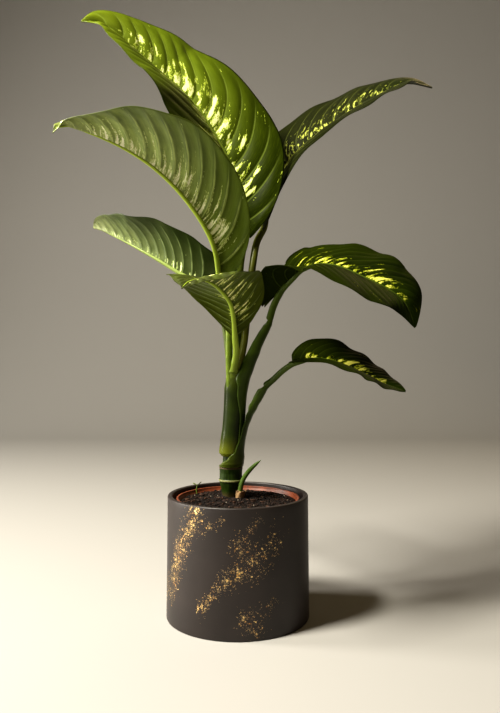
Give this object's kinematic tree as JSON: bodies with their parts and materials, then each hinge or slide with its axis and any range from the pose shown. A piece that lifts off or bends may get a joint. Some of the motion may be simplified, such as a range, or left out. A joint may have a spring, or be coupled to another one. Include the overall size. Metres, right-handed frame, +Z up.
{
  "type": "potted dieffenbachia",
  "caption": "House plant with broad, cream-splashed leaves on sheathed stalks round a short cane, in a nursery pot inside a gold-flecked charcoal cover pot",
  "frame": {"origin": "centre of the cover pot's flat underside", "axes": "+Z is up and the longest extent; -Y is the front, the side that the picture shows; +X is the right of the front"},
  "size_m": [0.4111, 0.2572, 0.6587],
  "materials": {
    "cover_pot": "matte, with gold flecks",
    "nursery_pot": "satin",
    "soil": "rough, damp potting mix",
    "cane": "satin",
    "offshoot": "satin",
    "husk": "dry, matte",
    "seedling": "satin",
    "leaf_light": "satin, with cream splashes",
    "leaf_dark": "satin, with yellow splashes"
  },
  "bodies": {
    "root": {"cover_pot": "cover_pot", "nursery_pot": "nursery_pot", "soil": "soil", "cane": "cane", "offshoot": "offshoot", "offshoot_husk": "husk", "seedling": "seedling", "leaf_top": "leaf_light", "leaf_upper_right": "leaf_dark", "leaf_upper_left": "leaf_light", "leaf_mid_left": "leaf_light", "leaf_front": "leaf_light", "leaf_mid_right": "leaf_dark", "leaf_low_right": "leaf_dark"}
  },
  "joints": []
}
